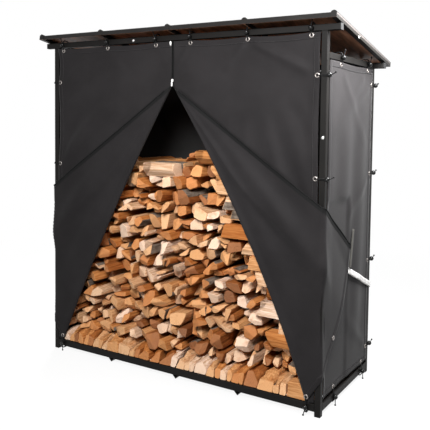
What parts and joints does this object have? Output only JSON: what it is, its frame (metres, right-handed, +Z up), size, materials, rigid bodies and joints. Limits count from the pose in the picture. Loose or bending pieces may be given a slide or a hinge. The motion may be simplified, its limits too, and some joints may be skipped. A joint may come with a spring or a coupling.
{
  "type": "log store",
  "caption": "Free-standing tube-frame log store with a lean-to sheet roof, laced fabric walls, a zipped front folded open like a tent, and a stack of split firewood.",
  "frame": {"origin": "on the ground under the middle of the roof's plan", "axes": "+X to the right seen from the front, -Y towards the front opening, +Z up"},
  "size_m": [1.824, 0.824, 1.8618],
  "materials": {
    "frame": "satin powder coat",
    "caps": "moulded",
    "roof": "satin powder coat",
    "roof_edge": "satin",
    "cover": "coated woven sheet",
    "zip": "woven tape and teeth",
    "slider": "smooth",
    "webbing": "woven webbing",
    "eyelet": "nickel plated",
    "tie": "glossy ball and elastic cord",
    "firewood": "split and sawn"
  },
  "bodies": {
    "root": {"front_left_post": "frame", "front_right_post": "frame", "rear_left_post": "frame", "rear_right_post": "frame", "front_top_beam": "frame", "rear_top_beam": "frame", "left_top_rail": "frame", "right_top_rail": "frame", "front_bottom_rail": "frame", "rear_bottom_rail": "frame", "left_bottom_rail": "frame", "right_bottom_rail": "frame", "floor_bars": "frame", "beam_end_caps": "caps", "foot_caps": "caps", "roof_panel_1": "roof", "roof_panel_2": "roof", "roof_panel_3": "roof", "roof_panel_4": "roof", "roof_ribs": "roof", "left_roof_edge": "roof_edge", "right_roof_edge": "roof_edge", "front_cover_left": "cover", "front_cover_right": "cover", "left_flap": "cover", "right_flap": "cover", "left_cover": "cover", "right_cover": "cover", "back_cover": "cover", "zip": "zip", "zip_slider": "slider", "left_strap": "webbing", "right_strap": "webbing", "front_eyelets": "eyelet", "left_eyelets": "eyelet", "right_eyelets": "eyelet", "back_eyelets": "eyelet", "front_ties": "tie", "left_ties": "tie", "right_ties": "tie", "back_ties": "tie", "left_logs": "firewood", "middle_logs": "firewood", "right_logs": "firewood", "cross_logs": "firewood"}
  },
  "joints": []
}
